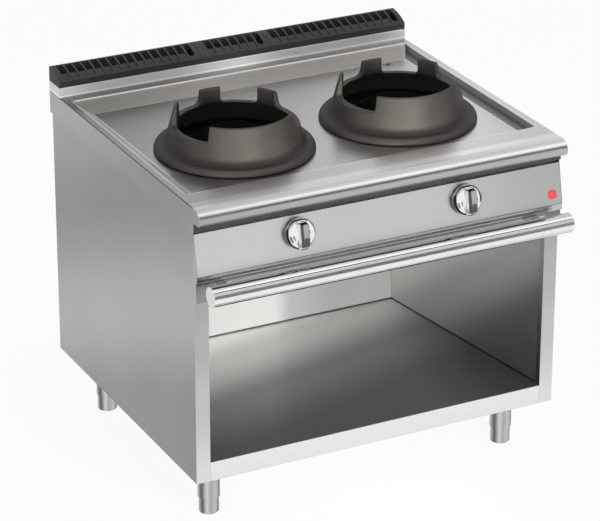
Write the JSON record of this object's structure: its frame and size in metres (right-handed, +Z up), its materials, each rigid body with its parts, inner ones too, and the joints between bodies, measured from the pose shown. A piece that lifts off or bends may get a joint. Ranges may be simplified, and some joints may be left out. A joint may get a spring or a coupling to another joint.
{
  "type": "wok range",
  "caption": "Free-standing gas wok range: cast wok rings in a pressed steel worktop well, tilted front panel with tap knobs, front rail, open compartment and adjustable feet.",
  "frame": {"origin": "on the floor, under the middle of the whole outline", "axes": "+X along the front to the user's right, +Y from the front to the back, +Z up"},
  "size_m": [1, 0.9579, 0.9583],
  "materials": {
    "cabinet_steel": "fine vertical brushing",
    "front_steel": "fine brushing along the front",
    "pan_steel": "fine brushing",
    "worktop_steel": "fine brushing along the front",
    "back_steel": "dull mill finish",
    "zinc_steel": "zinc-plated",
    "liner_steel": "bright annealed",
    "bright_steel": "bright",
    "leg_steel": "turned",
    "badge_enamel": "gloss enamel",
    "rail_chrome": "polished",
    "knob_chrome": "polished",
    "gas_steel": "black-galvanised pipe",
    "brass": "machined",
    "copper_pipe": "drawn",
    "burner_iron": "as cast",
    "ring_iron": "fine sand-cast, matt enamel",
    "flue_enamel": "matt enamel"
  },
  "bodies": {
    "cabinet": {"back_panel": "back_steel", "back_screws": "bright_steel", "base_rails": "zinc_steel", "blank_badge": "badge_enamel", "bottom_pan": "pan_steel", "burner_rails": "zinc_steel", "compartment_ceiling": "liner_steel", "control_panel": "front_steel", "flue_duct": "zinc_steel", "flue_riser": "worktop_steel", "front_cross_member": "zinc_steel", "front_leg_bar": "zinc_steel", "gas_inlet_nut": "brass", "gas_inlet_pipe": "gas_steel", "gas_manifold": "gas_steel", "jets": "brass", "left_burner_body": "burner_iron", "left_burner_collar": "bright_steel", "left_gas_tap": "brass", "left_knob_bezel": "rail_chrome", "left_side_liner": "liner_steel", "left_side_panel": "cabinet_steel", "leg_bolts": "zinc_steel", "leg_sleeves": "leg_steel", "lower_fascia": "front_steel", "pilot_pipes": "copper_pipe", "pilots": "bright_steel", "rail": "rail_chrome", "rail_brackets": "bright_steel", "rail_caps": "rail_chrome", "rear_cross_member": "zinc_steel", "rear_leg_bar": "zinc_steel", "rear_liner": "liner_steel", "right_burner_body": "burner_iron", "right_burner_collar": "bright_steel", "right_gas_tap": "brass", "right_knob_bezel": "rail_chrome", "right_side_liner": "liner_steel", "right_side_panel": "cabinet_steel", "supply_pipes": "copper_pipe", "thermocouples": "copper_pipe", "well_drain": "bright_steel", "worktop": "worktop_steel"},
    "left_push": {"left_tap_plunger": "brass"},
    "left_turn": {"left_knob": "knob_chrome", "left_spindle": "brass"},
    "left_ring": {"left_wok_ring": "ring_iron"},
    "left_crown": {"left_burner_crown": "burner_iron"},
    "right_push": {"right_tap_plunger": "brass"},
    "right_turn": {"right_knob": "knob_chrome", "right_spindle": "brass"},
    "right_ring": {"right_wok_ring": "ring_iron"},
    "right_crown": {"right_burner_crown": "burner_iron"},
    "left_flue": {"left_flue_cover": "flue_enamel"},
    "middle_flue": {"middle_flue_cover": "flue_enamel"},
    "right_flue": {"right_flue_cover": "flue_enamel"},
    "front_left_leg_foot": {"front_left_foot": "leg_steel"},
    "front_right_leg_foot": {"front_right_foot": "leg_steel"},
    "rear_left_leg_foot": {"rear_left_foot": "leg_steel"},
    "rear_right_leg_foot": {"rear_right_foot": "leg_steel"}
  },
  "joints": [
    {"name": "left_knob_push", "type": "slide", "parent": "cabinet", "child": "left_push", "axis": [0, 0.9795, -0.2017], "range_m": [0, 0.004], "stiffness_N_per_m": 600, "springref_m": -0.004},
    {"name": "left_knob_turn", "type": "hinge", "parent": "left_push", "child": "left_turn", "pos_m": [-0.228, -0.39107, 0.75692], "axis": [0, -0.9795, 0.2017], "range_deg": [0, 270]},
    {"name": "left_ring_lift", "type": "slide", "parent": "cabinet", "child": "left_ring", "axis": [0, 0, 1], "range_m": [0, 0.15]},
    {"name": "left_crown_lift", "type": "slide", "parent": "cabinet", "child": "left_crown", "axis": [0, 0, 1], "range_m": [0, 0.2]},
    {"name": "right_knob_push", "type": "slide", "parent": "cabinet", "child": "right_push", "axis": [0, 0.9795, -0.2017], "range_m": [0, 0.004], "stiffness_N_per_m": 600, "springref_m": -0.004},
    {"name": "right_knob_turn", "type": "hinge", "parent": "right_push", "child": "right_turn", "pos_m": [0.228, -0.39107, 0.75692], "axis": [0, -0.9795, 0.2017], "range_deg": [0, 270]},
    {"name": "right_ring_lift", "type": "slide", "parent": "cabinet", "child": "right_ring", "axis": [0, 0, 1], "range_m": [0, 0.15]},
    {"name": "right_crown_lift", "type": "slide", "parent": "cabinet", "child": "right_crown", "axis": [0, 0, 1], "range_m": [0, 0.2]},
    {"name": "left_flue_lift", "type": "slide", "parent": "cabinet", "child": "left_flue", "axis": [0, 0, 1], "range_m": [0, 0.1]},
    {"name": "middle_flue_lift", "type": "slide", "parent": "cabinet", "child": "middle_flue", "axis": [0, 0, 1], "range_m": [0, 0.1]},
    {"name": "right_flue_lift", "type": "slide", "parent": "cabinet", "child": "right_flue", "axis": [0, 0, 1], "range_m": [0, 0.1]},
    {"name": "front_left_foot_screw", "type": "slide", "parent": "cabinet", "child": "front_left_leg_foot", "axis": [0, 0, -1], "range_m": [0, 0.03]},
    {"name": "front_right_foot_screw", "type": "slide", "parent": "cabinet", "child": "front_right_leg_foot", "axis": [0, 0, -1], "range_m": [0, 0.03]},
    {"name": "rear_left_foot_screw", "type": "slide", "parent": "cabinet", "child": "rear_left_leg_foot", "axis": [0, 0, -1], "range_m": [0, 0.03]},
    {"name": "rear_right_foot_screw", "type": "slide", "parent": "cabinet", "child": "rear_right_leg_foot", "axis": [0, 0, -1], "range_m": [0, 0.03]}
  ]
}
